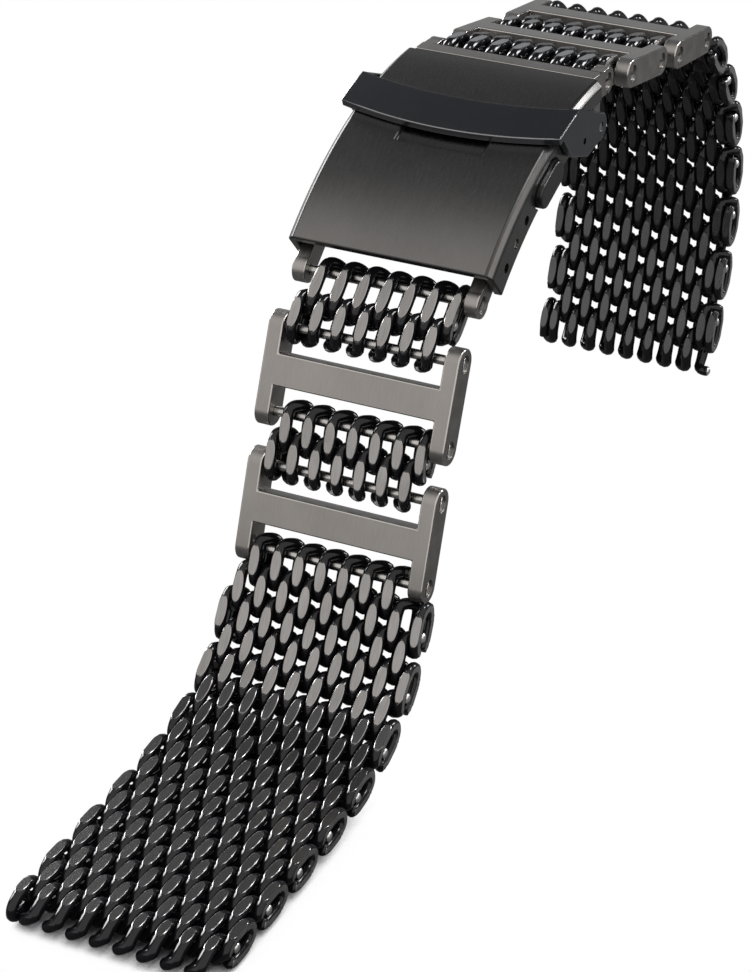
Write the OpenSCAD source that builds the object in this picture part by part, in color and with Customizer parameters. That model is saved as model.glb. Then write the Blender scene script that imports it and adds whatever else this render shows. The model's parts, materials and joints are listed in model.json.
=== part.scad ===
// Mesh watch band with H-shaped frame links and a folding clasp, closed on its wrist side.
// Millimetres. X runs across the band, Y from the front tip to the back, Z up.

/* [Mesh] */
// Distance between neighbouring loops of one row
loop_pitch = 2.44; // [2.0:0.02:2.8]
// Distance between neighbouring rows of the front half, which lies slack
front_step = 3.0; // [2.9:0.01:3.3]
// Distance between neighbouring rows of the rear half, which hangs taut
rear_step = 3.2; // [2.9:0.01:3.3]
// Width of the wire across the band
wire_width = 0.96; // [0.7:0.02:1.0]
// Thickness of the wire from the wrist side outwards
wire_height = 0.94; // [0.7:0.02:1.0]
// Height of the wire's middle above the middle of the band
coil_radius = 1.12; // [0.95:0.01:1.15]
// How much shorter a loop's straight part is than the distance between rows
hook_length = 1.4; // [1.3:0.02:1.5]
// Distance from a row's middle to the pin that carries it
pin_reach = 1.15; // [1.1:0.01:1.3]
// The same distance in the long row next to each end link
end_reach = 2.05; // [1.6:0.05:2.4]
// Loops in a full row
wide_loops = 9; // [7:1:9]
// Loops in a row that hangs on a pin between two arms
pin_loops = 7; // [5:1:7]
// Rows from the front frame down to the front tip
front_rows = 17; // [8:1:17]
// Rows from the rear frame down to the rear tip
rear_rows = 15; // [8:1:15]

/* [Frame links] */
// Distance between the two pins of a frame
frame_pins = 8.4; // [7.6:0.1:10]
// Width of one arm of a frame
frame_arm = 1.6; // [1.3:0.1:2.0]
// Thickness of a frame
frame_height = 3.1; // [2.6:0.1:3.4]
// Length of a frame's crossbar along the band
crossbar_length = 3.2; // [2.4:0.1:3.6]
// Height of a frame's crossbar
crossbar_height = 2.5; // [2.0:0.1:2.8]
// Diameter of a screw pin
pin_diameter = 1.0; // [0.8:0.02:1.0]
// Diameter of a screw pin's head
pin_head = 1.7; // [1.4:0.1:1.9]
// Length of a screw pin's head
pin_head_length = 0.75; // [0.5:0.05:0.9]

/* [Clasp] */
// Outside radius of the cover's curve
clasp_radius = 42.3; // [40:0.1:46]
// Width of one arm of an end link
link_arm = 1.43; // [1.2:0.01:1.8]
// Thickness of the cover's sheet
cover_sheet = 0.9; // [0.7:0.05:1.0]
// Height of the cover's side walls
cover_height = 4.1; // [3.8:0.1:4.4]
// Thickness of the safety latch
latch_sheet = 0.8; // [0.6:0.05:0.9]
// Thickness of the folding blades
blade_sheet = 0.9; // [0.7:0.05:1.0]
// Width of the folding blades
blade_width = 13; // [10:0.5:15]
// Diameter of the clasp's hinge pins
hinge_diameter = 1.0; // [0.8:0.05:1.1]
// Diameter of the spring bar's tips
bar_tip = 0.8; // [0.7:0.05:0.9]
// Distance between two adjusting holes in the cover
adjust_step = 2.8; // [2.6:0.1:3.0]
// How far a push button stands out of the cover's side
button_out = 0.65; // [0.55:0.05:0.8]

/* [Fits] */
// Clearance around a pin in its bore, on the radius
pin_gap = 0.05; // [0.03:0.01:0.08]
// Clearance around the spring bar's tip in an adjusting hole, on the radius
adjust_gap = 0.1; // [0.06:0.01:0.15]
// Side clearance between pieces that slide past each other
side_gap = 0.12; // [0.08:0.01:0.15]
// Side clearance between a row's loops and a frame's arms
row_gap = 0.24; // [0.2:0.02:0.4]
// Side clearance between a row's loops and an end link's arms
link_gap = 0.14; // [0.1:0.02:0.3]

/* [Hidden] */

steel = "#6f6b67";
dark_steel = "#2b2c30";
black = "#17181a";
eps = 0.01;
fine = 48;
round_fn = 32;

// Widths across the band, all worked out from the loops that lie between the arms.
row_width = (pin_loops - 0.5) * loop_pitch + wire_width;
arm_inside = row_width / 2 + row_gap;
arm_outside = arm_inside + frame_arm;
link_inside = row_width / 2 + link_gap;
link_outside = link_inside + link_arm;
half_cover = link_outside + side_gap + cover_sheet;

// Slopes of the pieces in the pose that is drawn, in degrees, rising towards the back.
front_slopes = [68, 65, 58, 48, 37, 26, 17, 11, 7, 4, 3, 2, 1.5, 1.5, 1.5, 1.5, 2];
rear_slopes = [-40, -44, -50, -56, -63, -71, -79, -86, -93, -99, -104, -107, -109, -110, -111];
front_frame_slopes = [70, 68];
front_link_slopes = [71, 72];
front_clasp_slopes = [50, 40];
front_end_slope = 39.5;
rear_clasp_slopes = [-9, -16];
rear_frame_slopes = [-10, -8];
rear_link_slopes = [-11, -13];

// The clasp's curve: every clasp piece is placed by an angle from the vertical and a radius.
// The origin is the middle of the lower blade's wrist side.
clasp_depth = 6.3;
adjust_depth = 2.7;
cover_hinge_depth = 3.9;
blade_hinge_depth = 4.4;
button_depth = 3.0;
rear_pin_depth = 1.6;
lower_low = clasp_radius - clasp_depth;
rest_angle = -14;
curve_centre = -lower_low * [sin(rest_angle), cos(rest_angle)];
function on_curve(radius, angle) = curve_centre + radius * [sin(angle), cos(angle)];
cover_start = -41.7;
cover_end = -2.1;
wall_bottom = clasp_radius - cover_height;
cover_ceiling = clasp_radius - cover_sheet;
adjust_radius = clasp_radius - adjust_depth;
adjust_turn = adjust_step / adjust_radius * 180 / PI;
adjust_middle = -34.2;
cover_hinge_angle = -5.6;
cover_hinge_radius = clasp_radius - cover_hinge_depth;
blade_hinge_angle = -29;
blade_hinge_radius = clasp_radius - blade_hinge_depth;
button_angle = -22.6;
button_radius = clasp_radius - button_depth;
rear_pin_angle = 3.6;
rear_pin_radius = clasp_radius - rear_pin_depth;

// Places along the band, as [Y, Z], with a slope in degrees.
function step_on(point, slope, length) = point + length * [cos(slope), sin(slope)];
end_link_length = 7.0;
adjust_point = on_curve(adjust_radius, adjust_middle);
front_pin_5 = step_on(adjust_point, front_end_slope, -end_link_length);
front_clasp_2 = step_on(front_pin_5, front_clasp_slopes[1], -end_reach);
front_clasp_joint = step_on(front_clasp_2, front_clasp_slopes[1], -front_step / 2);
front_clasp_1 = step_on(front_clasp_joint, front_clasp_slopes[0], -front_step / 2);
front_pin_4 = step_on(front_clasp_1, front_clasp_slopes[0], -pin_reach);
front_frame_2_at = step_on(front_pin_4, front_frame_slopes[1], -frame_pins / 2);
front_pin_3 = step_on(front_pin_4, front_frame_slopes[1], -frame_pins);
front_link_2 = step_on(front_pin_3, front_link_slopes[1], -pin_reach);
front_link_joint = step_on(front_link_2, front_link_slopes[1], -front_step / 2);
front_link_1 = step_on(front_link_joint, front_link_slopes[0], -front_step / 2);
front_pin_2 = step_on(front_link_1, front_link_slopes[0], -pin_reach);
front_frame_1_at = step_on(front_pin_2, front_frame_slopes[0], -frame_pins / 2);
front_pin_1 = step_on(front_pin_2, front_frame_slopes[0], -frame_pins);

rear_pin_1 = on_curve(rear_pin_radius, rear_pin_angle);
rear_clasp_1 = step_on(rear_pin_1, rear_clasp_slopes[0], end_reach);
rear_clasp_joint = step_on(rear_clasp_1, rear_clasp_slopes[0], rear_step / 2);
rear_clasp_2 = step_on(rear_clasp_joint, rear_clasp_slopes[1], rear_step / 2);
rear_pin_2 = step_on(rear_clasp_2, rear_clasp_slopes[1], pin_reach);
rear_frame_1_at = step_on(rear_pin_2, rear_frame_slopes[0], frame_pins / 2);
rear_pin_3 = step_on(rear_pin_2, rear_frame_slopes[0], frame_pins);
rear_link_1 = step_on(rear_pin_3, rear_link_slopes[0], pin_reach);
rear_link_joint = step_on(rear_link_1, rear_link_slopes[0], rear_step / 2);
rear_link_2 = step_on(rear_link_joint, rear_link_slopes[1], rear_step / 2);
rear_pin_4 = step_on(rear_link_2, rear_link_slopes[1], pin_reach);
rear_frame_2_at = step_on(rear_pin_4, rear_frame_slopes[1], frame_pins / 2);
rear_pin_5 = step_on(rear_pin_4, rear_frame_slopes[1], frame_pins);

// The joint above front row k (counted from 0), and below it.
function front_joint(k) = k == 0 ? front_pin_1
    : step_on(front_joint(k - 1), front_slopes[k - 1], k == 1 ? -pin_reach - front_step / 2 : -front_step);
function front_row_at(k) = step_on(front_joint(k), front_slopes[k], k == 0 ? -pin_reach : -front_step / 2);
function rear_joint(k) = k == 0 ? rear_pin_5
    : step_on(rear_joint(k - 1), rear_slopes[k - 1], k == 1 ? pin_reach + rear_step / 2 : rear_step);
function rear_row_at(k) = step_on(rear_joint(k), rear_slopes[k], k == 0 ? pin_reach : rear_step / 2);

module place(point, slope) {
    translate([0, point[0], point[1]])
        rotate([slope, 0, 0])
            children();
}

module at_curve(radius, angle) {
    place(on_curve(radius, angle), -angle)
        children();
}

// Turns a drawing in the plane of Y and Z into a solid along X.
module along_x(from, to) {
    translate([from, 0, 0])
        rotate([90, 0, 90])
            linear_extrude(to - from)
                children();
}

// A round bar along X at [Y, Z].
module bar_x(radius, from, to, point = [0, 0], facets = round_fn) {
    translate([from, point[0], point[1]])
        rotate([0, 90, 0])
            cylinder(r = radius, h = to - from, $fn = facets);
}

// Sweeps an outline of [radius, X] points round the clasp's centre.
module curved(from_angle, to_angle) {
    translate([0, curve_centre[0], curve_centre[1]])
        rotate([90, 0, 90])
            rotate([0, 0, 90 - to_angle])
                rotate_extrude(angle = to_angle - from_angle, $fn = 360)
                    children();
}

module curved_plate(low, high, from_angle, to_angle, half_width) {
    curved(from_angle, to_angle)
        translate([low, -half_width])
            square([high - low, 2 * half_width]);
}

// The same shape as a curved plate in short flat steps, for the folded sheet of the blades.
slab_steps = 14;
module arc_slab(low, high, from_angle, to_angle, half_width) {
    angles = [for (k = [0:slab_steps]) from_angle + (to_angle - from_angle) * k / slab_steps];
    along_x(-half_width, half_width)
        polygon(concat([for (a = angles) on_curve(high, a)], [for (a = flip(angles)) on_curve(low, a)]));
}

// Mesh rows: one wire wound flat, loop after loop, its two faces joined by a bend at each end.
pin_slack = 0.05;
function flip(list) = [for (k = [len(list) - 1:-1:0]) list[k]];
shoulder = 0.05;
apex = 1.0;
function plain_bend(x, side, centre) = [
    [x, side * (centre + shoulder * coil_radius), coil_radius],
    [x, side * (centre + apex * coil_radius), 0],
    [x, side * (centre + shoulder * coil_radius), -coil_radius]
];
function round_bend(x, side, centre) = [
    [x, side * (centre + 0.414 * coil_radius), coil_radius],
    [x, side * (centre + coil_radius), 0.414 * coil_radius],
    [x, side * (centre + coil_radius), -0.414 * coil_radius],
    [x, side * (centre + 0.414 * coil_radius), -coil_radius]
];
function bend(x, side, on_pin, step, reach) = on_pin ? round_bend(x, side, reach - pin_slack)
    : plain_bend(x, side, (step - hook_length) / 2);
function row_path(count, first, pin_side, step, reach) = [
    for (k = [0:count - 1])
        for (point = concat(flip(bend(first + k * loop_pitch, -1, pin_side == -1, step, reach)),
                            bend(first + k * loop_pitch, 1, pin_side == 1, step, reach)))
            point
];
function unit(v) = v / norm(v);

// The least gap between the turns of one wire, measured on points spread along its path: each point of
// the first turn against all that lie half a turn to one and a half turns further on.
gap_parts = 6;
function fine_points(path) = [
    for (k = [0:len(path) - 2])
        for (i = [0:gap_parts - 1])
            path[k] + (path[k + 1] - path[k]) * i / gap_parts
];
function least_gap(path, turns) =
    let (points = fine_points(path),
         turn = gap_parts * len(path) / turns)
    min([for (i = [0:turn - 1]) for (j = [i + turn / 2:i + turn * 3 / 2]) norm(points[i] - points[j])])
    - wire_width;
echo(least_gap_front = least_gap(row_path(wide_loops, 0, 0, front_step, pin_reach), wide_loops),
     least_gap_rear = least_gap(row_path(wide_loops, 0, 0, rear_step, pin_reach), wide_loops),
     least_gap_on_pin = least_gap(row_path(pin_loops, 0, 1, front_step, pin_reach), pin_loops),
     least_gap_long = least_gap(row_path(pin_loops, 0, 1, front_step, end_reach), pin_loops));
function corner(path, k, across, outward) =
    let (back = unit(path[k] - path[max(k - 1, 0)] + (k == 0 ? path[1] - path[0] : [0, 0, 0])),
         last = len(path) - 1,
         ahead = unit(path[min(k + 1, last)] - path[k] + (k == last ? path[last] - path[last - 1] : [0, 0, 0])),
         along = unit(back + ahead),
         spread = norm(ahead - back) < 0.001 ? [0, 0, 0] : unit(ahead - back),
         radial = unit([0, path[k][1], 1.2 * path[k][2]]),
         out = unit(radial - (radial * along) * along),
         side = cross(along, out),
         offset = across * wire_width / 2 * side + outward * wire_height / 2 * out)
    path[k] + offset + (1 / (back * along) - 1) * (offset * spread) * spread;

module coil(count, first, pin_side, step, reach) {
    path = row_path(count, first, pin_side, step, reach);
    last = len(path) - 1;
    points = [
        for (k = [0:last])
            for (c = [[1, 1], [1, -1], [-1, -1], [-1, 1]])
                corner(path, k, c[0], c[1])
    ];
    sides = [
        for (k = [0:last - 1])
            for (c = [0:3])
                for (face = [[4 * k + c, 4 * k + 4 + c, 4 * k + (c + 1) % 4],
                             [4 * k + (c + 1) % 4, 4 * k + 4 + c, 4 * k + 4 + (c + 1) % 4]])
                    face
    ];
    ends = [[0, 1, 2], [0, 2, 3],
            [4 * last, 4 * last + 2, 4 * last + 1], [4 * last, 4 * last + 3, 4 * last + 2]];
    polyhedron(points = points, faces = concat(sides, ends), convexity = 12);
}

// side_shift is -1 for rows that stand out to the left, 1 for those that stand out to the right.
// pin_side is the end that a pin runs through: 1 behind, -1 in front, 0 for none.
module mesh_row(point, slope, step, count, side_shift, pin_side, reach = pin_reach) {
    place(point, slope)
        color(black)
            coil(count, (side_shift / 4 - (count - 1) / 2) * loop_pitch, pin_side, step, reach);
}

module front_row(k) {
    mesh_row(front_row_at(k), front_slopes[k], front_step, k == 0 ? pin_loops : wide_loops,
             k % 2 == 0 ? -1 : 1, k == 0 ? 1 : 0);
}

module rear_row(k) {
    mesh_row(rear_row_at(k), rear_slopes[k], rear_step, k == 0 ? pin_loops : wide_loops,
             k % 2 == 0 ? -1 : 1, k == 0 ? -1 : 0);
}

// Screw pins, their heads sunk in the right-hand arm.
head_sink = 0.2;
slot_depth = 0.3;
slot_width = 0.3;
blind_end = 0.4;
module screw_pin(outside, far_end) {
    color(steel)
        difference() {
            union() {
                bar_x(pin_diameter / 2, far_end, outside - head_sink - eps);
                bar_x(pin_head / 2, outside - head_sink - pin_head_length, outside - head_sink);
            }
            translate([outside - head_sink - slot_depth, -pin_head, -slot_width / 2])
                cube([slot_depth + 1, 2 * pin_head, slot_width]);
        }
}

module screw_bore(outside, far_end) {
    bar_x(pin_diameter / 2 + pin_gap, far_end - pin_gap, outside);
    bar_x(pin_head / 2 + pin_gap, outside - head_sink - pin_head_length - pin_gap, outside + eps);
}

// H-shaped frame link, open at both ends, with a rounded end on each arm.
arm_end = frame_height / 2;
pin_far_end = -arm_outside + blind_end;
module frame_link(point, slope) {
    place(point, slope)
        color(steel)
            difference() {
                union() {
                    for (side = [-1, 1]) {
                        mirror([side < 0 ? 1 : 0, 0, 0])
                            translate([arm_inside, -frame_pins / 2, -frame_height / 2])
                                cube([arm_outside - arm_inside, frame_pins, frame_height]);
                        for (end = [-1, 1])
                            mirror([side < 0 ? 1 : 0, 0, 0])
                                bar_x(arm_end, arm_inside, arm_outside, [end * frame_pins / 2, 0], fine);
                    }
                    translate([-arm_inside - eps, -crossbar_length / 2, frame_height / 2 - crossbar_height])
                        cube([2 * arm_inside + 2 * eps, crossbar_length, crossbar_height]);
                }
                for (end = [-1, 1])
                    translate([0, end * frame_pins / 2, 0])
                        screw_bore(arm_outside, pin_far_end);
            }
}

module frame_pins(point, slope) {
    place(point, slope)
        for (end = [-1, 1])
            translate([0, end * frame_pins / 2, 0])
                screw_pin(arm_outside, pin_far_end);
}

// End link on the front half: two arms and a tube that the spring bar goes through.
link_far_end = -link_outside + blind_end;
tube_radius = 1.2;
bar_radius = 0.7;
bar_short = 0.3;
tip_short = 0.15;
front_arm_radius = 1.4;
module front_end_link() {
    place(front_pin_5, front_end_slope)
        color(steel)
            difference() {
                union() {
                    for (side = [0, 1])
                        mirror([side, 0, 0]) {
                            bar_x(front_arm_radius, link_inside, link_outside, [0, 0], fine);
                            translate([link_inside, 0, -tube_radius])
                                cube([link_outside - link_inside, end_link_length, 2 * tube_radius]);
                        }
                    bar_x(tube_radius, -link_outside, link_outside, [end_link_length, 0], fine);
                }
                screw_bore(link_outside, link_far_end);
                bar_x(bar_radius + pin_gap, -link_outside - eps, link_outside + eps, [end_link_length, 0]);
            }
}

module front_end_link_pins() {
    place(front_pin_5, front_end_slope) {
        screw_pin(link_outside, link_far_end);
        color(steel)
            translate([0, end_link_length, 0]) {
                bar_x(bar_radius, -link_outside + bar_short, link_outside - bar_short);
                bar_x(bar_tip / 2, -half_cover + tip_short, half_cover - tip_short);
            }
    }
}

// Clasp cover: a curved channel with bevelled edges, adjusting holes and button openings.
edge_bevel = 0.6;
lobe_radius = 1.5;
rear_wall_height = 2.2;
upper_wall = clasp_radius - rear_wall_height;
recess_depth = 0.35;
recess_half_width = 4.7;
module cover_outline() {
    polygon([
        [wall_bottom, -half_cover], [clasp_radius - edge_bevel, -half_cover],
        [clasp_radius, -half_cover + edge_bevel], [clasp_radius, half_cover - edge_bevel],
        [clasp_radius - edge_bevel, half_cover], [wall_bottom, half_cover],
        [wall_bottom, half_cover - cover_sheet], [cover_ceiling, half_cover - cover_sheet],
        [cover_ceiling, -half_cover + cover_sheet], [wall_bottom, -half_cover + cover_sheet]
    ]);
}

button_length = 5.8;
button_height = 2.7;
module button_shape(grow, from, to) {
    spread = (button_length - button_height) / 2;
    at_curve(button_radius, button_angle) {
        for (end = [-1, 1])
            bar_x(button_height / 2 + grow, from, to, [end * spread, 0], fine);
        translate([from, -spread, -button_height / 2 - grow])
            cube([to - from, 2 * spread, button_height + 2 * grow]);
    }
}

module clasp_cover() {
    hinge = on_curve(cover_hinge_radius, cover_hinge_angle);
    color(steel)
        difference() {
            union() {
                difference() {
                    curved(cover_start, cover_end)
                        cover_outline();
                    curved_plate(wall_bottom - 1, upper_wall, cover_hinge_angle, cover_end + 1, half_cover + 1);
                }
                for (side = [0, 1])
                    mirror([side, 0, 0])
                        bar_x(lobe_radius, half_cover - cover_sheet, half_cover, hinge, fine);
            }
            bar_x(hinge_diameter / 2 + pin_gap, -half_cover - 1, half_cover + 1, hinge);
            for (hole = [-1, 0, 1])
                bar_x(bar_tip / 2 + adjust_gap, -half_cover - 1, half_cover + 1,
                      on_curve(adjust_radius, adjust_middle + hole * adjust_turn));
            button_shape(side_gap, half_cover - cover_sheet - eps, half_cover + 1);
            mirror([1, 0, 0])
                button_shape(side_gap, half_cover - cover_sheet - eps, half_cover + 1);
            // Finger recess under the latch's free edge.
            curved_plate(clasp_radius - recess_depth, clasp_radius + 1, -23.5, -16.5, recess_half_width);
        }
}

// A push button: an oval face that stands out of the wall, and a wider flange inside it.
flange_grow = 0.35;
flange_sheet = 0.7;
button_room = 0.08;
module push_button_right() {
    flange_outside = half_cover - cover_sheet - button_room;
    color(black)
        difference() {
            union() {
                button_shape(0, flange_outside - eps, half_cover + button_out);
                button_shape(flange_grow, flange_outside - flange_sheet, flange_outside);
            }
            curved_plate(cover_ceiling - 0.1, clasp_radius + 2, -35, -10, half_cover - cover_sheet + eps);
        }
}

module push_button_left() {
    mirror([1, 0, 0])
        push_button_right();
}

// Safety latch: a curved band across the cover with an ear down each side to the hinge pin.
latch_low = clasp_radius + side_gap;
latch_high = latch_low + latch_sheet;
half_latch = half_cover + side_gap + latch_sheet;
latch_start = -19.3;
latch_end = -12.7;
latch_bow = 1.5;
module bowed_edge(angle, half_width) {
    // A disc whose rim passes the side ends at the given angle and bows towards the front.
    bow_radius = (half_width * half_width + latch_bow * latch_bow) / (2 * latch_bow);
    at_curve(clasp_radius, angle)
        translate([0, bow_radius - latch_bow, -2])
            cylinder(r = bow_radius, h = 6, $fn = 180);
}

module latch_ear() {
    hinge = on_curve(cover_hinge_radius, cover_hinge_angle);
    front_low = on_curve(wall_bottom + 0.9, latch_start + 3.2);
    front_high = on_curve(latch_high - 0.1, latch_start + 0.6);
    back_high = on_curve(latch_high - 0.1, latch_end);
    along_x(half_cover + side_gap, half_latch)
        polygon([front_low, front_high, back_high, hinge + [0.9, 1.2], hinge + [0.9, -1.2], hinge + [-3.2, -2.0]]);
    bar_x(lobe_radius, half_cover + side_gap, half_latch, hinge, fine);
}

module safety_latch() {
    hinge = on_curve(cover_hinge_radius, cover_hinge_angle);
    dimple = on_curve(wall_bottom + 0.9, -11.8);
    color(dark_steel)
        difference() {
            union() {
                difference() {
                    intersection() {
                        curved_plate(latch_low, latch_high, latch_start - 4, latch_end + 0.01, half_latch);
                        bowed_edge(latch_start, half_latch);
                    }
                    bowed_edge(latch_end, half_latch);
                }
                for (side = [0, 1])
                    mirror([side, 0, 0])
                        latch_ear();
            }
            bar_x(hinge_diameter / 2 + pin_gap, -half_latch - 1, half_latch + 1, hinge);
            for (side = [0, 1])
                mirror([side, 0, 0])
                    bar_x(0.35, half_cover + side_gap + 0.3, half_latch + 1, dimple);
        }
}

// Folding blades: flat curved strips with rolled knuckles.
knuckle_radius = 1.1;
lower_high = lower_low + blade_sheet;
upper_depth = 3.0;
upper_low = clasp_radius - upper_depth;
upper_high = upper_low + blade_sheet;
half_blade = blade_width / 2;
middle_knuckle = half_blade * 0.52;
cover_knuckle = half_cover - cover_sheet - side_gap;
hinge_room = 0.35;
inset = 0.03;
module folding_blade_upper() {
    cover_hinge = on_curve(cover_hinge_radius, cover_hinge_angle);
    blade_hinge = on_curve(blade_hinge_radius, blade_hinge_angle);
    color(steel)
        difference() {
            union() {
                arc_slab(upper_low, upper_high, blade_hinge_angle + 2.6, cover_hinge_angle, half_blade);
                arc_slab(upper_low + inset, upper_high - inset, blade_hinge_angle, blade_hinge_angle + 3.6,
                         middle_knuckle);
                arc_slab(cover_hinge_radius, upper_high - inset, cover_hinge_angle - 1, cover_hinge_angle - 0.1,
                         half_blade - inset);
                bar_x(knuckle_radius, -cover_knuckle, cover_knuckle, cover_hinge, fine);
                arc_slab(blade_hinge_radius, upper_low + 0.1, blade_hinge_angle - 0.6, blade_hinge_angle + 1.4,
                         middle_knuckle - inset);
                bar_x(knuckle_radius, -middle_knuckle, middle_knuckle, blade_hinge, fine);
            }
            bar_x(hinge_diameter / 2 + pin_gap, -half_cover, half_cover, cover_hinge);
            bar_x(hinge_diameter / 2 + pin_gap, -half_cover, half_cover, blade_hinge);
        }
}

tab_width = 5;
tab_start = -0.9;
tab_end = 0.1;
tab_depth = 2.6;
tab_high = clasp_radius - tab_depth;
lower_end = 0.9;
module folding_blade_lower() {
    blade_hinge = on_curve(blade_hinge_radius, blade_hinge_angle);
    color(steel)
        difference() {
            union() {
                difference() {
                    union() {
                        arc_slab(lower_low, lower_high, blade_hinge_angle, lower_end, half_blade);
                        arc_slab(lower_high - 0.1, blade_hinge_radius, blade_hinge_angle + 0.2,
                                 blade_hinge_angle + 1.2, half_blade - inset);
                        bar_x(knuckle_radius, -half_blade, half_blade, blade_hinge, fine);
                    }
                    // Room for the upper blade's middle knuckle.
                    bar_x(knuckle_radius + hinge_room, -middle_knuckle - side_gap,
                          middle_knuckle + side_gap, blade_hinge, fine);
                }
                arc_slab(lower_high - 0.1, tab_high, tab_start, tab_end, tab_width);
            }
            bar_x(hinge_diameter / 2 + pin_gap, -half_cover, half_cover, blade_hinge);
        }
}

module cover_hinge_pin() {
    hinge = on_curve(cover_hinge_radius, cover_hinge_angle);
    color(steel)
        bar_x(hinge_diameter / 2, -half_latch + 0.1, half_latch - 0.1, hinge);
}

module blade_hinge_pin() {
    hinge = on_curve(blade_hinge_radius, blade_hinge_angle);
    color(steel)
        bar_x(hinge_diameter / 2, -half_blade + 0.05, half_blade - 0.05, hinge);
}

// Rear end link: a crossbar on the lower blade's tab, and two arms with the last screw pin.
rear_bar_start = cover_end + 0.45;
rear_bar_end = 0.9;
rear_arm_radius = 1.45;
module rear_end_link() {
    color(steel)
        difference() {
            union() {
                curved_plate(lower_high + pin_gap, clasp_radius - 0.1, rear_bar_start, rear_bar_end, link_outside);
                for (side = [0, 1])
                    mirror([side, 0, 0]) {
                        curved(rear_bar_end - 0.1, rear_pin_angle)
                            translate([rear_pin_radius - rear_arm_radius + pin_gap, link_inside])
                                square([2 * rear_arm_radius - 2 * pin_gap, link_outside - link_inside]);
                        bar_x(rear_arm_radius, link_inside, link_outside, rear_pin_1, fine);
                    }
            }
            translate([0, rear_pin_1[0], rear_pin_1[1]])
                screw_bore(link_outside, link_far_end);
            curved_plate(lower_high - 1, tab_high + pin_gap, tab_start - 0.08, tab_end + 0.08, tab_width + pin_gap);
        }
}

module rear_end_link_pin() {
    place(rear_pin_1, 0)
        screw_pin(link_outside, link_far_end);
}

// Rows between two pins: the lower-numbered one is nearer the frame it is named after.
module front_link_row_1() {
    mesh_row(front_link_1, front_link_slopes[0], front_step, pin_loops, -1, -1);
}

module front_link_row_2() {
    mesh_row(front_link_2, front_link_slopes[1], front_step, pin_loops, 1, 1);
}

module front_clasp_row_1() {
    mesh_row(front_clasp_1, front_clasp_slopes[0], front_step, pin_loops, -1, -1);
}

module front_clasp_row_2() {
    mesh_row(front_clasp_2, front_clasp_slopes[1], front_step, pin_loops, 1, 1, end_reach);
}

module rear_clasp_row_1() {
    mesh_row(rear_clasp_1, rear_clasp_slopes[0], rear_step, pin_loops, -1, -1, end_reach);
}

module rear_clasp_row_2() {
    mesh_row(rear_clasp_2, rear_clasp_slopes[1], rear_step, pin_loops, 1, 1);
}

module rear_link_row_1() {
    mesh_row(rear_link_1, rear_link_slopes[0], rear_step, pin_loops, -1, -1);
}

module rear_link_row_2() {
    mesh_row(rear_link_2, rear_link_slopes[1], rear_step, pin_loops, 1, 1);
}

function row_name(half, k) = str(half, "_row_", k < 9 ? "0" : "", k + 1);
for (k = [0:front_rows - 1])
    front_row(k);
for (k = [0:rear_rows - 1])
    rear_row(k);
frame_link(front_frame_1_at, front_frame_slopes[0]);  // front_frame_1
frame_pins(front_frame_1_at, front_frame_slopes[0]);  // front_frame_1_pins
front_link_row_1();
front_link_row_2();
frame_link(front_frame_2_at, front_frame_slopes[1]);  // front_frame_2
frame_pins(front_frame_2_at, front_frame_slopes[1]);  // front_frame_2_pins
front_clasp_row_1();
front_clasp_row_2();
front_end_link();
front_end_link_pins();
clasp_cover();
safety_latch();
push_button_left();
push_button_right();
folding_blade_upper();
folding_blade_lower();
cover_hinge_pin();
blade_hinge_pin();
rear_end_link();
rear_end_link_pin();
rear_clasp_row_1();
rear_clasp_row_2();
frame_link(rear_frame_1_at, rear_frame_slopes[0]);  // rear_frame_1
frame_pins(rear_frame_1_at, rear_frame_slopes[0]);  // rear_frame_1_pins
rear_link_row_1();
rear_link_row_2();
frame_link(rear_frame_2_at, rear_frame_slopes[1]);  // rear_frame_2
frame_pins(rear_frame_2_at, rear_frame_slopes[1]);  // rear_frame_2_pins
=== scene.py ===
"""Looks for the mesh watch band: ground wire mesh, brushed frame links and the folding clasp.

Metres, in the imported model's own frame: X across the band, Y from the front tip to the rear, Z up.
"""

import json
import math

import bmesh
import bpy
import numpy as np
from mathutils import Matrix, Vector


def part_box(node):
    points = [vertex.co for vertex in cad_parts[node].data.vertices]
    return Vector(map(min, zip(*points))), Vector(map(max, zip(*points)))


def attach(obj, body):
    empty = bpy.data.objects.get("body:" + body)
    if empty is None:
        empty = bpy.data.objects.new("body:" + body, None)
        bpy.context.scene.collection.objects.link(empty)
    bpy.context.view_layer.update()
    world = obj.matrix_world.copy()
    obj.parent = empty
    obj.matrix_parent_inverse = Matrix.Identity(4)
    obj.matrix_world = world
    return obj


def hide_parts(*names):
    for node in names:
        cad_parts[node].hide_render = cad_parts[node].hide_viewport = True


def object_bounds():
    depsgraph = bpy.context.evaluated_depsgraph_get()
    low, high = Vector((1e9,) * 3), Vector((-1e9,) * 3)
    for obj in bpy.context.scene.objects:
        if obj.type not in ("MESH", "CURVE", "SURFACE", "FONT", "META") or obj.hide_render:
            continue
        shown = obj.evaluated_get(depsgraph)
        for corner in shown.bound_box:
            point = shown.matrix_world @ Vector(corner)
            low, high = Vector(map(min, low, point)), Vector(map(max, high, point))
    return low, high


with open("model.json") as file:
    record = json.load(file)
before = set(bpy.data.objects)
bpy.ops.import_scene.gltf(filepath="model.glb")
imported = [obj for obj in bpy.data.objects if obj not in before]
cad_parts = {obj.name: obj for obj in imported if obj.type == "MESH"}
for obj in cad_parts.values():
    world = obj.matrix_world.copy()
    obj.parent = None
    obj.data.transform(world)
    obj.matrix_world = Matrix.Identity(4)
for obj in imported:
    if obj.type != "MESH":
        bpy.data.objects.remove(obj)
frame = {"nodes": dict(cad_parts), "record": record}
cad_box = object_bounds()

MM = 0.001
NODES = frame["nodes"]
JOINTS = {j["child"]: j for j in frame["record"]["behaviour"]["joints"]}

# ---------- materials


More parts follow.
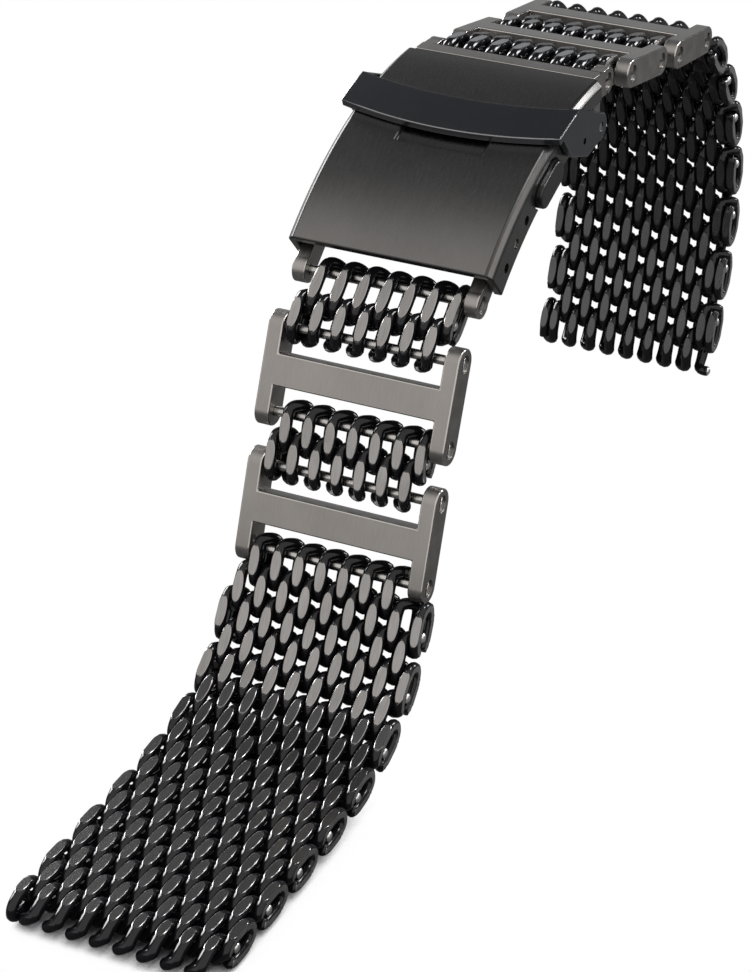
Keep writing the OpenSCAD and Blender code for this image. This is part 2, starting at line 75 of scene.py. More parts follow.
def node_tree(material):
    """The material's node tree, emptied."""
    material.use_nodes = True
    tree = material.node_tree
    tree.nodes.clear()
    return tree


GRAIN_SCALE = (9000, 700, 700)
BLOTCH_SCALE = 160.0
GRAIN_BUMP = 0.02 * MM


def brushed_group():
    """Fine streaks along the band: noise that is fast across X and slow along Y and Z, with larger blotches.
    Both shade the colour; the streaks alone also change the roughness and the bump."""
    group = bpy.data.node_groups.new("brushed_grain", "ShaderNodeTree")
    face = group.interface
    face.new_socket("Roughness", in_out="INPUT", socket_type="NodeSocketFloat")
    face.new_socket("Spread", in_out="INPUT", socket_type="NodeSocketFloat")
    face.new_socket("Color", in_out="INPUT", socket_type="NodeSocketColor")
    face.new_socket("Tint", in_out="INPUT", socket_type="NodeSocketFloat")
    face.new_socket("Depth", in_out="INPUT", socket_type="NodeSocketFloat")
    face.new_socket("Color", in_out="OUTPUT", socket_type="NodeSocketColor")
    face.new_socket("Roughness", in_out="OUTPUT", socket_type="NodeSocketFloat")
    face.new_socket("Normal", in_out="OUTPUT", socket_type="NodeSocketVector")
    nodes, links = group.nodes, group.links
    ins, outs = nodes.new("NodeGroupInput"), nodes.new("NodeGroupOutput")
    coords = nodes.new("ShaderNodeTexCoord")
    stretch = nodes.new("ShaderNodeMapping")
    stretch.inputs["Scale"].default_value = GRAIN_SCALE
    streaks = nodes.new("ShaderNodeTexNoise")
    streaks.inputs["Scale"].default_value = 1.0
    streaks.inputs["Detail"].default_value = 3.0
    blotch = nodes.new("ShaderNodeTexNoise")
    blotch.inputs["Scale"].default_value = BLOTCH_SCALE
    blotch.inputs["Detail"].default_value = 2.0
    links.new(coords.outputs["Object"], stretch.inputs["Vector"])
    links.new(stretch.outputs["Vector"], streaks.inputs["Vector"])
    links.new(coords.outputs["Object"], blotch.inputs["Vector"])
    centred = nodes.new("ShaderNodeMath")
    centred.operation = "SUBTRACT"
    centred.inputs[1].default_value = 0.5
    links.new(streaks.outputs["Fac"], centred.inputs[0])
    rough = nodes.new("ShaderNodeMath")
    rough.operation = "MULTIPLY_ADD"
    links.new(centred.outputs[0], rough.inputs[0])
    links.new(ins.outputs["Spread"], rough.inputs[1])
    links.new(ins.outputs["Roughness"], rough.inputs[2])
    mixed = nodes.new("ShaderNodeMath")
    mixed.operation = "ADD"
    links.new(streaks.outputs["Fac"], mixed.inputs[0])
    links.new(blotch.outputs["Fac"], mixed.inputs[1])
    shade = nodes.new("ShaderNodeMath")
    shade.operation = "SUBTRACT"
    shade.inputs[1].default_value = 1.0
    links.new(mixed.outputs[0], shade.inputs[0])
    gain = nodes.new("ShaderNodeMath")
    gain.operation = "MULTIPLY_ADD"
    gain.inputs[2].default_value = 1.0
    links.new(shade.outputs[0], gain.inputs[0])
    links.new(ins.outputs["Tint"], gain.inputs[1])
    tint = nodes.new("ShaderNodeVectorMath")
    tint.operation = "SCALE"
    links.new(ins.outputs["Color"], tint.inputs[0])
    links.new(gain.outputs[0], tint.inputs["Scale"])
    bump = nodes.new("ShaderNodeBump")
    bump.inputs["Distance"].default_value = GRAIN_BUMP
    links.new(ins.outputs["Depth"], bump.inputs["Strength"])
    links.new(streaks.outputs["Fac"], bump.inputs["Height"])
    links.new(tint.outputs["Vector"], outs.inputs["Color"])
    links.new(rough.outputs[0], outs.inputs["Roughness"])
    links.new(bump.outputs["Normal"], outs.inputs["Normal"])
    return group


BRUSHED = brushed_group()


def metal(name, color, roughness, metallic=1.0, spread=0.2, tint=0.4, depth=0.3, coat=0.0, specular=0.5):
    """A brushed surface. spread, tint and depth set how far its grain changes roughness, colour and bump."""
    material = bpy.data.materials.new(name)
    tree = node_tree(material)
    out = tree.nodes.new("ShaderNodeOutputMaterial")
    shader = tree.nodes.new("ShaderNodeBsdfPrincipled")
    grain = tree.nodes.new("ShaderNodeGroup")
    grain.node_tree = BRUSHED
    grain.inputs["Color"].default_value = (*color, 1)
    grain.inputs["Roughness"].default_value = roughness
    grain.inputs["Spread"].default_value = spread
    grain.inputs["Tint"].default_value = tint
    grain.inputs["Depth"].default_value = depth
    shader.inputs["Metallic"].default_value = metallic
    shader.inputs["Coat Weight"].default_value = coat
    shader.inputs["Specular IOR Level"].default_value = specular
    tree.links.new(grain.outputs["Color"], shader.inputs["Base Color"])
    tree.links.new(grain.outputs["Roughness"], shader.inputs["Roughness"])
    tree.links.new(grain.outputs["Normal"], shader.inputs["Normal"])
    tree.links.new(shader.outputs["BSDF"], out.inputs["Surface"])
    return material


black_wire = metal("black_wire", (0.009, 0.009, 0.011), 0.14, metallic=0.0, spread=0.1, tint=0.5, depth=0.1,
                   coat=0.15, specular=0.3)
ground_face = metal("ground_face", (0.3, 0.293, 0.29), 0.2, spread=0.02, tint=0.5, depth=0.0)
# Chamfer between a ground flat and the round wire: the ground steel made a little lighter, a painted highlight
# along the leaf's edge.
ground_rim_and_highlight = metal("ground_rim_and_highlight", (0.34, 0.334, 0.33), 0.26, tint=0.2, depth=0.0)
ground_side = metal("ground_side", (0.5, 0.49, 0.49), 0.3, tint=0.4)
# Ground flats on the wrist side: the same ground steel at about a third of its brightness, painted shade.
wrist_face_shade = metal("wrist_face_shade", (0.1, 0.1, 0.104), 0.28, tint=0.5)
frame_steel = metal("frame_steel", (0.32, 0.306, 0.294), 0.38, tint=0.35)
# Eased edges of the frames and blades: a polished bevel, made lighter than the frame steel as a painted
# highlight.
frame_bevel_and_highlight = metal("frame_bevel_and_highlight", (0.5, 0.48, 0.46), 0.2, tint=0.2, depth=0.0)
cover_steel = metal("cover_steel", (0.18, 0.174, 0.172), 0.27, spread=0.05, tint=0.25, depth=0.03)
# Eased edges of the cover: a much darker copy of the cover steel, painted shade that keeps the lamps' reflections
# on them dark.
cover_edge_shade = metal("cover_edge_shade", (0.07, 0.069, 0.069), 0.36, tint=0.2, depth=0.0)
latch_black = metal("latch_black", (0.135, 0.141, 0.157), 0.26, spread=0.05, tint=0.2, depth=0.03)
# Eased edges of the latch: a lighter copy of the latch finish, a painted highlight.
latch_edge_highlight = metal("latch_edge_highlight", (0.26, 0.262, 0.27), 0.24, tint=0.15, depth=0.0)
button_black = metal("button_black", (0.012, 0.012, 0.013), 0.25, metallic=0.0, tint=0.2, depth=0.1)
rod_steel = metal("rod_steel", (0.5, 0.49, 0.48), 0.26, tint=0.3)
# The dome at a wire's free end: bare steel made near-white, a painted highlight that shows from every side.
bare_end_and_highlight = metal("bare_end_and_highlight", (0.85, 0.84, 0.83), 0.34, tint=0.2)
blade_steel = metal("blade_steel", (0.30, 0.29, 0.285), 0.3, tint=0.3)

# ---------- mesh rows

# The first block repeats sizes and counts of the part's source; the others shape the wire around them.
FRONT_ROWS, REAR_ROWS = 17, 15
WIDE_LOOPS, NARROW_LOOPS = 9, 7
LOOP_PITCH = 2.44 * MM
FRONT_STEP = 3.0 * MM
REAR_STEP = 3.2 * MM
PIN_REACH = 1.15 * MM
END_REACH = 2.05 * MM

PIN_RING = 1.12 * MM
PIN_PLAY = 0.05 * MM
HOOK_OVERLAP = 0.8 * MM
WIRE_RADIUS = 0.59 * MM
WAIST_GAIN = 0.03 * MM
WAIST_REACH = 1.1 * MM
WAIST_POWER = 0.8
OUTER_HEIGHT = 1.28 * MM
INNER_HEIGHT = 1.14 * MM
OUTER_ROUND = 2.3
INNER_ROUND = 2.5
GROUND_HEIGHT = 1.63 * MM
WRIST_GROUND = -1.52 * MM
EDGE_CUT = 0.42 * MM
FRONT_BEND_SHARE = 0.3
BACK_BEND_SHARE = 0.4
BACK_BEND_LEAD = 0.03
LEFT_END_TURNS = 0.4
RIGHT_END_TURNS = 0.1
END_DOME = 0.4 * MM
TIP_DROP = 0.22
TIP_SHORT = 0.5 * MM
TIP_START = 0.4

POINTS_PER_TURN = 240
STEPS_PER_TURN = 60
OUTER_DENSITY = 1.5
TAIL_POINTS = 8
TAIL_START = 0.1
FLAT_COLUMNS = 4
ROUND_COLUMNS = 13
FLAT_SHARE = 0.91
CHAMFER_SHARE = 1.1
OUTWARD_LEAN = 0.8
GRIND_TILT = 0.3
WIDEST_FLAT = 1.3
NARROWEST_FLAT = 0.03
SIDEWAYS = 0.98
SMALLEST_DOME = 0.04
ON_PLANE = 1e-5 * MM


def smooth_step(x):
    """3 x^2 - 2 x^3, held at 0 and 1 outside."""
    x = np.clip(x, 0, 1)
    return x * x * (3 - 2 * x)


def signed_power(x, power):
    """|x|^power with the sign of x."""
    return np.sign(x) * np.abs(x) ** power


def coil_path(turns, reach_front, reach_back, shift):
    """Loop after loop of a flat oval: along = reach * cos^(2/m) t and height = rise * sin^(2/m) t, with a rise
    and an m of their own on the outer side and the wrist side. The wire runs straight along the band on both
    faces and moves half a loop to the right in each of the two bends, a little earlier in the back one. On the
    side to which the row is shifted its end stays in the plane of the last loop, on the other it runs out
    sideways to the ground edge."""
    start, stop = (-LEFT_END_TURNS, turns - 0.5) if shift < 0 else (0, turns - RIGHT_END_TURNS)
    fine = np.linspace(start, stop, int(turns * POINTS_PER_TURN))
    angle = math.pi - 2 * math.pi * fine
    c, s = np.cos(angle), np.sin(angle)
    power = np.where(s > 0, 2 / OUTER_ROUND, 2 / INNER_ROUND)
    along = np.where(c > 0, reach_back, reach_front) * signed_power(c, power)
    height = np.where(s > 0, OUTER_HEIGHT, INNER_HEIGHT) * signed_power(s, power)
    half_turn = np.floor(2 * fine + 0.5)
    at_back = half_turn % 2 == 1
    lead = np.where(at_back, BACK_BEND_LEAD, 0)
    share = np.where(at_back, BACK_BEND_SHARE, FRONT_BEND_SHARE)
    steps = half_turn - 1 + smooth_step((2 * fine - half_turn + lead) / share + 0.5)
    steps = np.clip(steps, 0 if shift < 0 else -1, 2 * turns - (1 if shift < 0 else 2))
    path = np.stack([LOOP_PITCH / 2 * steps, along, height], axis=1)
    to_edge = LOOP_PITCH * (0.25 - (BACK_BEND_LEAD / BACK_BEND_SHARE if shift < 0 else 0)) + EDGE_CUT
    tail = np.linspace(TAIL_START, 1, TAIL_POINTS)[:, None] * np.array([[to_edge, 0, 0]])
    if shift < 0:
        path = np.concatenate([path, path[-1] + tail])
    else:
        path = np.concatenate([path[0] - tail[::-1], path])
    gap = np.linalg.norm(np.diff(path, axis=0), axis=1) * np.where(path[1:, 2] > 0, OUTER_DENSITY, 1)
    length = np.concatenate([[0], np.cumsum(gap)])
    even = np.linspace(0, length[-1], int(turns * STEPS_PER_TURN))
    return np.stack([np.interp(even, length, path[:, k]) for k in range(3)], axis=1)


def coil_surface(path, low, high):
    """Carries the wire's section along the path. The section is a circle whose top is cut off at the ground
    height; its first columns lie on that flat, and one narrow chamfer on each side joins it to the round. The
    wrist side and both sides of the band are ground off as well. The radius grows a little in mid-run, and the
    end that runs out sideways closes in a dome at the edge. bright marks that dome, whose faces get a painted
    highlight: a near-white steel."""
    tangent = np.gradient(path, axis=0)
    tangent /= np.linalg.norm(tangent, axis=1)[:, None]
    radial = path * [0, OUTWARD_LEAN, 1]
    outward = radial - np.sum(radial * tangent, axis=1)[:, None] * tangent
    outward /= np.linalg.norm(outward, axis=1)[:, None]
    side = np.cross(tangent, outward)
    radius = WIRE_RADIUS + WAIST_GAIN * np.clip(1 - np.abs(path[:, 1]) / WAIST_REACH, 0, 1) ** WAIST_POWER
    to_edge = np.minimum(path[:, 0] - low, high - path[:, 0])
    sideways = np.abs(tangent[:, 0]) > SIDEWAYS
    dome = np.sqrt(1 - (1 - np.clip(to_edge / END_DOME, SMALLEST_DOME, 1)) ** 2)
    radius *= np.where(sideways, dome, 1)
    upper = np.where(outward[:, 2] > GRIND_TILT, (GROUND_HEIGHT - path[:, 2]) / (radius * outward[:, 2]), 1)
    lower = np.where(outward[:, 2] < -GRIND_TILT, (WRIST_GROUND - path[:, 2]) / (radius * outward[:, 2]), 1)
    half = np.arccos(np.clip(np.minimum(upper, lower), math.cos(WIDEST_FLAT), math.cos(NARROWEST_FLAT)))
    flat = np.linspace(-FLAT_SHARE, FLAT_SHARE, FLAT_COLUMNS)[None, :] * half[:, None]
    share = np.linspace(0, 1, ROUND_COLUMNS)
    start = CHAMFER_SHARE * half
    rest = start[:, None] + share[None, :] * (2 * math.pi - 2 * start[:, None])
    turn = np.concatenate([flat, rest], axis=1)
    ring = np.cos(turn)[:, :, None] * outward[:, None, :] + np.sin(turn)[:, :, None] * side[:, None, :]
    points = path[:, None, :] + radius[:, None, None] * ring
    ground = (points[:, :, 2] >= GROUND_HEIGHT - ON_PLANE) | (points[:, :, 2] <= WRIST_GROUND + ON_PLANE)
    points[:, :, 2] = np.clip(points[:, :, 2], WRIST_GROUND, GROUND_HEIGHT)
    cut = (points[:, :, 0] <= low) | (points[:, :, 0] >= high)
    points[:, :, 0] = np.clip(points[:, :, 0], low, high)
    bright = np.broadcast_to((sideways & (dome < SIDEWAYS))[:, None], cut.shape)
    return points, ground, cut, bright


def tube_faces(rows, columns):
    """Quads of a tube of rows rings, with a fan to a middle point at each end."""
    k, c = np.meshgrid(np.arange(rows - 1), np.arange(columns), indexing="ij")
    a, b = k * columns + c, k * columns + (c + 1) % columns
    quads = np.stack([a, b, b + columns, a + columns], axis=-1).reshape(-1, 4)
    ring = np.arange(columns)
    first, last = rows * columns, rows * columns + 1
    start = np.stack([np.full(columns, first), (ring + 1) % columns, ring], axis=1)
    tail = (rows - 1) * columns
    end = np.stack([np.full(columns, last), tail + ring, tail + (ring + 1) % columns], axis=1)
    return quads, start, end


def add_object(name, mesh, body, node):
    """A visible piece that rides on body and takes the place of one CAD node."""
    piece = bpy.data.objects.new(name, mesh)
    bpy.context.scene.collection.objects.link(piece)
    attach(piece, body)
    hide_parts(node)
    return piece


def yz(values):
    """The point's place in the band's side view."""
    return np.array([values[1], values[2]])


def own_hinge(body):
    return yz(JOINTS[body]["pos_m"])


def node_middle(node):
    low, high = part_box(node)
    return yz((Vector(low) + Vector(high)) / 2)


def make_row(name, far_point, own_reach, far_reach, backwards, loops, shift, pin_side, step, tip=0):
    """One wire. own_reach and far_reach run from the row's middle to its two hinges; backwards is 1 where the
    row's own hinge lies behind it. shift is -1 or 1 for a row that stands a quarter of a loop to the left or to
    the right. pin_side is -1 or 1 where the front or back side sits on a pin. tip is -1 or 1 where the front or
    back side is the band's free end: the loops get lower there, so that they stay round where the other rows are
    ground flat."""
    own = own_hinge(name)
    out = far_point - own
    out /= np.linalg.norm(out)
    middle = own + out * own_reach
    along = -out if backwards else out
    outward = np.array([-along[1], along[0]])
    plain = step / 2 + HOOK_OVERLAP
    free = plain - TIP_SHORT
    pin = (own_reach if (pin_side > 0) == bool(backwards) else far_reach) + PIN_RING - PIN_PLAY
    to_front = pin if pin_side < 0 else free if tip < 0 else plain
    to_back = pin if pin_side > 0 else free if tip > 0 else plain
    path = coil_path(loops, to_front, to_back, shift)
    path[:, 0] += (shift / 4 - (loops - 1) / 2) * LOOP_PITCH
    path[:, 2] *= 1 - TIP_DROP * smooth_step(TIP_START + tip * path[:, 1] / plain) * abs(tip)
    edge = ((loops - 1) / 2 + 0.25) * LOOP_PITCH + EDGE_CUT
    points, ground, cut, bright = coil_surface(path, -edge, edge)
    rows, columns = points.shape[:2]
    wire = points.reshape(-1, 3)
    ends = np.array([points[0].mean(axis=0), points[-1].mean(axis=0)])
    local = np.concatenate([wire, ends])
    world = np.empty_like(local)
    world[:, 0] = local[:, 0]
    world[:, 1:] = middle + local[:, 1:2] * along + local[:, 2:3] * outward
    quads, start, end = tube_faces(rows, columns)
    mesh = bpy.data.meshes.new(name + "_wire")
    mesh.from_pydata(world.tolist(), [], quads.tolist() + start.tolist() + end.tolist())
    mesh.update()
    ground = ground.reshape(-1)
    column = quads[:, :2] % columns
    on_ground = ground[quads]
    on_flat = on_ground.all(axis=1) & (column < FLAT_COLUMNS).all(axis=1)
    # Chamfer quads beside a flat. On the outer side they take the lighter chamfer steel, a painted highlight.
    on_rim_highlight = (on_ground.sum(axis=1) >= 1) & ((column < FLAT_COLUMNS).sum(axis=1) == 1)
    on_wrist = wire[quads, 2].mean(axis=1) < 0
    # Faces of the end dome. They take the near-white end steel, a painted highlight.
    on_dome_highlight = bright.reshape(-1)[quads].all(axis=1)
    on_side = cut.reshape(-1)[quads].all(axis=1)
    finishes = (black_wire, ground_face, ground_side, ground_rim_and_highlight, wrist_face_shade, bare_end_and_highlight)
    black, face, side, rim_highlight, wrist, bright_end = range(len(finishes))
    index = np.full(len(mesh.polygons), bright_end, dtype=np.int32)
    plain_end = len(quads) + (0 if shift < 0 else columns)
    index[plain_end : plain_end + columns] = black
    # On the wrist side the flats take the darker wrist steel, painted shade.
    kinds = [on_dome_highlight, on_side, on_flat & on_wrist, on_flat, on_rim_highlight & ~on_wrist]
    index[: len(quads)] = np.select(kinds, [bright_end, side, wrist, face, rim_highlight], black)
    for finish in finishes:
        mesh.materials.append(finish)
    mesh.polygons.foreach_set("material_index", index)
    mesh.polygons.foreach_set("use_smooth", np.ones(len(mesh.polygons), dtype=bool))
    edges = np.empty(len(mesh.edges) * 2, dtype=np.int32)
    mesh.edges.foreach_get("vertices", edges)
    edges = edges.reshape(-1, 2)
    in_wire = (edges < rows * columns).all(axis=1)
    safe = np.minimum(edges, rows * columns - 1)
    at = safe % columns
    beside_flat = (at == 0) | (at == FLAT_COLUMNS - 1) | (at == FLAT_COLUMNS) | (at == columns - 1)
    near_flat = ground[safe // columns * columns].all(axis=1)
    sharp = in_wire & beside_flat.all(axis=1) & near_flat & (at[:, 0] == at[:, 1])
    attribute = mesh.attributes.new("sharp_edge", "BOOLEAN", "EDGE")
    attribute.data.foreach_set("value", sharp)
    add_object(name + "_wire", mesh, name, name)


def make_wide_rows():
    """Each half of the mesh, from its first row, which is narrow and sits on a pin, to its free end. The rows are
    shifted to the left and to the right in turn."""
    for half, count, step, backwards in (("front", FRONT_ROWS, FRONT_STEP, 1), ("rear", REAR_ROWS, REAR_STEP, 0)):
        names = [f"{half}_row_{k:02d}" for k in range(1, count + 1)]
        to_frame = 1 if backwards else -1
        for k, name in enumerate(names):
            first, last = k == 0, k == count - 1
            far = node_middle(name) if last else own_hinge(names[k + 1])
            own = PIN_REACH if first else step / 2
            loops = NARROW_LOOPS if first else WIDE_LOOPS
            shift = 1 if k % 2 else -1
            make_row(name, far, own, step / 2, backwards, loops, shift, to_frame * first, step, -to_frame * last)


def make_narrow_rows():
    """The hooked pairs of rows between the links: each row's other side sits on a pin."""
    for half, kind, first, second, beyond, reach in (
        ("front", "link", 2, 1, "front_frame_1", PIN_REACH),
        ("front", "clasp", 2, 1, "front_frame_2", END_REACH),
        ("rear", "clasp", 1, 2, "rear_frame_1", END_REACH),
        ("rear", "link", 1, 2, "rear_frame_2", PIN_REACH),
    ):
        step, backwards, side = (FRONT_STEP, 1, 1) if half == "front" else (REAR_STEP, 0, -1)
        row, mate = f"{half}_{kind}_row_{first}", f"{half}_{kind}_row_{second}"
        make_row(row, own_hinge(mate), reach, step / 2, backwards, NARROW_LOOPS, side, side, step)
        make_row(mate, own_hinge(beyond), step / 2, PIN_REACH, backwards, NARROW_LOOPS, -side, -side, step)


make_wide_rows()
make_narrow_rows()

# ---------- rigid pieces

MERGE_DISTANCE = 0.01 * MM
SHORTEST_EASED = 0.15 * MM
FLAT_ANGLE = math.radians(0.5)
SHARP_ANGLE = math.radians(28)
FOLD_ANGLE = math.radians(150)


def ease_node(node, body, width, face, edge, slot, segments=2):
    """A copy of a CAD node with its sharp edges rounded. The shortest edges, such as those of small bores, and
    the slivers that are folded on themselves stay as they are."""
    mesh = NODES[node].data.copy()
    work = bmesh.new()
    work.from_mesh(mesh)
    bmesh.ops.remove_doubles(work, verts=work.verts, dist=MERGE_DISTANCE)
    bmesh.ops.dissolve_degenerate(work, dist=MERGE_DISTANCE, edges=work.edges)
    bmesh.ops.dissolve_limit(work, angle_limit=FLAT_ANGLE, verts=work.verts, edges=work.edges)
    weight = work.edges.layers.float.new("bevel_weight_edge")
    for f in work.faces:
        f.smooth = True
        f.material_index = 0
    for e in work.edges:
        angle = e.calc_face_angle(0) if len(e.link_faces) == 2 else 0
        e.smooth = angle < SHARP_ANGLE
        e[weight] = float(SHARP_ANGLE < angle < FOLD_ANGLE and e.calc_length() > SHORTEST_EASED)
    work.to_mesh(mesh)
    work.free()
    mesh.materials.clear()
    mesh.materials.append(face)
    mesh.materials.append(edge)
    piece = add_object(node + "_finished", mesh, body, node)
    bevel = piece.modifiers.new("eased_edges", "BEVEL")
    bevel.width = width
    bevel.segments = segments
    bevel.limit_method = "WEIGHT"
    # The bevels take the edge material: a lighter copy, a painted highlight, on the frames, blades and latch, and
    # a darker copy, painted shade, on the cover.
    bevel.material = 1
    bevel.harden_normals = True
    bevel.use_clamp_overlap = False


PIN_EASE = 0.05 * MM
FRAME_FINISH = (frame_steel, frame_bevel_and_highlight, "brushed_frames")
PIN_FINISH = (rod_steel, rod_steel, "screws")
BUTTON_FINISH = (button_black, button_black, "black_buttons")
BLADE_FINISH = (blade_steel, frame_bevel_and_highlight, "inner_blades")

for half in ("front", "rear"):
    for n in (1, 2):
        body = f"{half}_frame_{n}"
        ease_node(body, body, 0.16 * MM, *FRAME_FINISH, 3)
        ease_node(body + "_pins", body, 0.06 * MM, *PIN_FINISH)
ease_node("front_end_link", "front_end_link", 0.1 * MM, *FRAME_FINISH)
ease_node("front_end_link_pins", "front_end_link", PIN_EASE, *PIN_FINISH)
ease_node("rear_end_link", "clasp_base", 0.1 * MM, *FRAME_FINISH)
ease_node("rear_end_link_pin", "clasp_base", PIN_EASE, *PIN_FINISH)
ease_node("clasp_cover", "clasp_cover", 0.18 * MM, cover_steel, cover_edge_shade, "dark_clasp", 3)
ease_node("cover_hinge_pin", "clasp_cover", PIN_EASE, *PIN_FINISH)
ease_node("safety_latch", "safety_latch", 0.13 * MM, latch_black, latch_edge_highlight, "black_latch", 3)
for side in ("left", "right"):
    ease_node(f"push_button_{side}", f"push_button_{side}", 0.2 * MM, *BUTTON_FINISH)
ease_node("folding_blade_upper", "folding_blade_upper", 0.08 * MM, *BLADE_FINISH)
ease_node("folding_blade_lower", "clasp_base", 0.08 * MM, *BLADE_FINISH)
ease_node("blade_hinge_pin", "clasp_base", PIN_EASE, *PIN_FINISH)

# ---------- stage, lights and camera

FLOOR_HALF_WIDTH = 2.0
FLOOR_DROP = 0.2 * MM
# Grey of the painted contact shadow, shown where ambient occlusion finds the mesh close above the floor.
FLOOR_GREY = 0.12
CONTACT_REACH = 4.5 * MM
CONTACT_DARK, CONTACT_CLEAR = 0.15, 0.55


def make_floor():
    """A floor that only shows as a painted contact shadow under the mesh: its dark grey appears where ambient
    occlusion finds something near above it, and the camera sees through it wherever nothing is. Shadow rays and
    everything that comes from below pass everywhere."""
    low, _ = cad_box
    size = FLOOR_HALF_WIDTH
    z = low[2] - FLOOR_DROP
    mesh = bpy.data.meshes.new("floor")
    mesh.from_pydata([(-size, -size, z), (size, -size, z), (size, size, z), (-size, size, z)], [], [(0, 1, 2, 3)])
    floor = bpy.data.objects.new("floor", mesh)
    bpy.context.scene.collection.objects.link(floor)
    material = bpy.data.materials.new("floor_painted_contact_shadow")
    tree = node_tree(material)
    new, link = tree.nodes.new, tree.links.new
    out = new("ShaderNodeOutputMaterial")
    diffuse = new("ShaderNodeBsdfDiffuse")
    diffuse.inputs["Color"].default_value = (FLOOR_GREY, FLOOR_GREY, FLOOR_GREY, 1)
    clear = new("ShaderNodeBsdfTransparent")
    cover = new("ShaderNodeAmbientOcclusion")
    cover.samples = 8
    cover.inputs["Distance"].default_value = CONTACT_REACH
    opened = new("ShaderNodeMapRange")
    opened.interpolation_type = "SMOOTHSTEP"
    opened.inputs["From Min"].default_value = CONTACT_DARK
    opened.inputs["From Max"].default_value = CONTACT_CLEAR
    path, side = new("ShaderNodeLightPath"), new("ShaderNodeNewGeometry")
    seen, passed, below = (new("ShaderNodeMath") for _ in range(3))
    seen.operation = "MULTIPLY"
    passed.operation = below.operation = "MAXIMUM"
    link(cover.outputs["AO"], opened.inputs["Value"])
    link(path.outputs["Is Camera Ray"], seen.inputs[0])
    link(opened.outputs["Result"], seen.inputs[1])
    link(seen.outputs[0], passed.inputs[0])
    link(path.outputs["Is Shadow Ray"], passed.inputs[1])
    link(passed.outputs[0], below.inputs[0])
    link(side.outputs["Backfacing"], below.inputs[1])
    mix = new("ShaderNodeMixShader")
    link(below.outputs[0], mix.inputs["Fac"])
    link(diffuse.outputs["BSDF"], mix.inputs[1])
    link(clear.outputs["BSDF"], mix.inputs[2])
    link(mix.outputs["Shader"], out.inputs["Surface"])
    mesh.materials.append(material)


# How bright the tent is in reflections, by how far the direction points to the back of the stage.
TENT_LEVELS = ((-0.3, 1.0), (0.0, 0.85), (0.1, 0.36), (0.2, 0.11), (0.5, 0.085), (0.72, 0.1), (0.88, 0.12),
               (0.94, 0.34), (1.0, 0.48))
TENT_WARMTH = 0.03
WARM_UP_TO = 0.1
SOFT_LEVEL = 0.6


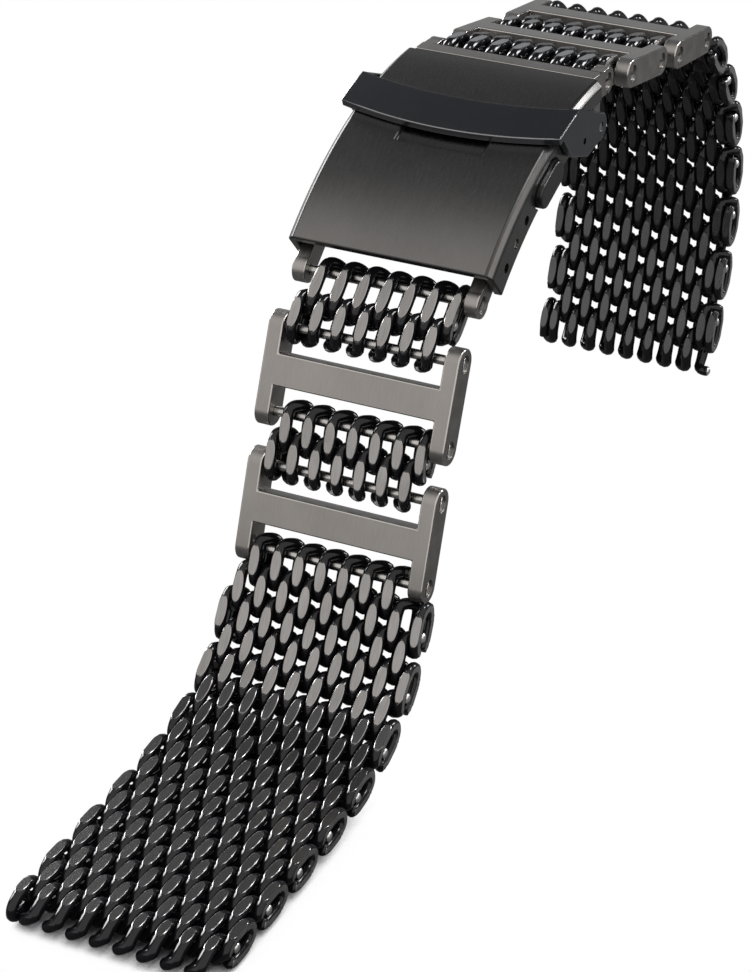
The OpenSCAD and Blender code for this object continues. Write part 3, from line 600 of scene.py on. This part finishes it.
def make_world():
    """White to the camera. In reflections it is light in front and overhead, dark from there to the back and grey
    at the back's horizon: brightness follows how far the direction points to the back of the stage."""
    world = bpy.data.worlds.new("studio")
    bpy.context.scene.world = world
    world.use_nodes = True
    tree = world.node_tree
    tree.nodes.clear()
    new, link = tree.nodes.new, tree.links.new
    out = new("ShaderNodeOutputWorld")
    soft, white, tent = (new("ShaderNodeBackground") for _ in range(3))
    soft.inputs["Color"].default_value = (0.8, 0.8, 0.8, 1)
    soft.inputs["Strength"].default_value = SOFT_LEVEL
    white.inputs["Color"].default_value = (1, 1, 1, 1)
    white.inputs["Strength"].default_value = 1.0
    coords = new("ShaderNodeTexCoord")
    weigh = new("ShaderNodeVectorMath")
    weigh.operation = "DOT_PRODUCT"
    a = math.radians(CAMERA_AZIMUTH)
    weigh.inputs[1].default_value = (-0.5 * math.sin(a), 0.5 * math.cos(a), 0)
    lift = new("ShaderNodeMath")
    lift.operation = "ADD"
    lift.inputs[1].default_value = 0.5
    fall = new("ShaderNodeValToRGB")
    while len(fall.color_ramp.elements) < len(TENT_LEVELS):
        fall.color_ramp.elements.new(0.5)
    for element, (back, level) in zip(fall.color_ramp.elements, TENT_LEVELS):
        element.position = 0.5 + 0.5 * back
        warm = TENT_WARMTH if back < WARM_UP_TO else -TENT_WARMTH
        element.color = (level * (1 + warm), level, level * (1 - warm), 1)
    link(coords.outputs["Generated"], weigh.inputs[0])
    link(weigh.outputs["Value"], lift.inputs[0])
    link(lift.outputs[0], fall.inputs["Fac"])
    link(fall.outputs["Color"], tent.inputs["Color"])
    path = new("ShaderNodeLightPath")
    seen = new("ShaderNodeMath")
    seen.operation = "MAXIMUM"
    link(path.outputs["Is Camera Ray"], seen.inputs[0])
    link(path.outputs["Is Transmission Ray"], seen.inputs[1])
    shown, mirrored = new("ShaderNodeMixShader"), new("ShaderNodeMixShader")
    link(path.outputs["Is Glossy Ray"], mirrored.inputs["Fac"])
    link(soft.outputs["Background"], mirrored.inputs[1])
    link(tent.outputs["Background"], mirrored.inputs[2])
    link(seen.outputs[0], shown.inputs["Fac"])
    link(mirrored.outputs["Shader"], shown.inputs[1])
    link(white.outputs["Background"], shown.inputs[2])
    link(shown.outputs["Shader"], out.inputs["Surface"])


# Name, place, point it looks at, width and height in metres, power in watts.
LAMPS = (
    ("left_softbox", (-0.52, 0.2, 0.2), (0, -0.03, -0.02), 0.45, 0.28, 5.0),
    ("top_right", (0.25, 0.17, 0.5), (0, -0.01, -0.02), 0.12, 0.12, 1.0),
    ("back_right", (0.42, 0.55, 0.22), (0, -0.03, -0.03), 0.12, 0.3, 2.0),
)


def make_lamp(name, place, aim, width, height, power):
    data = bpy.data.lights.new(name, "AREA")
    data.shape = "RECTANGLE"
    data.size = width
    data.size_y = height
    data.energy = power
    lamp = bpy.data.objects.new(name, data)
    lamp.location = place
    lamp.rotation_euler = (Vector(aim) - Vector(place)).to_track_quat("-Z", "Y").to_euler()
    bpy.context.scene.collection.objects.link(lamp)


# Fitted to corners of the cover, the frame links and the mesh in the photo.
CAMERA_AZIMUTH = 26.3
CAMERA_ELEVATION = 28.87
CAMERA_DISTANCE = 301.5 * MM
FOCAL_PIXELS, PICTURE_HEIGHT = 3030, 972
SENSOR = 36
VIEW_POINT = Vector((0, -21.941, -27.331)) * MM


def make_camera():
    data = bpy.data.cameras.new("camera")
    data.sensor_width = SENSOR
    data.lens = FOCAL_PIXELS / PICTURE_HEIGHT * SENSOR
    data.clip_start = 0.01
    data.clip_end = 10
    camera = bpy.data.objects.new("camera", data)
    a, e = math.radians(CAMERA_AZIMUTH), math.radians(CAMERA_ELEVATION)
    back = Vector((math.sin(a) * math.cos(e), -math.cos(a) * math.cos(e), math.sin(e)))
    camera.location = VIEW_POINT + back * CAMERA_DISTANCE
    camera.rotation_euler = (-back).to_track_quat("-Z", "Y").to_euler()
    bpy.context.scene.collection.objects.link(camera)
    bpy.context.scene.camera = camera


make_floor()
make_world()
for lamp in LAMPS:
    make_lamp(*lamp)
make_camera()
bpy.context.scene.view_settings.view_transform = "Standard"
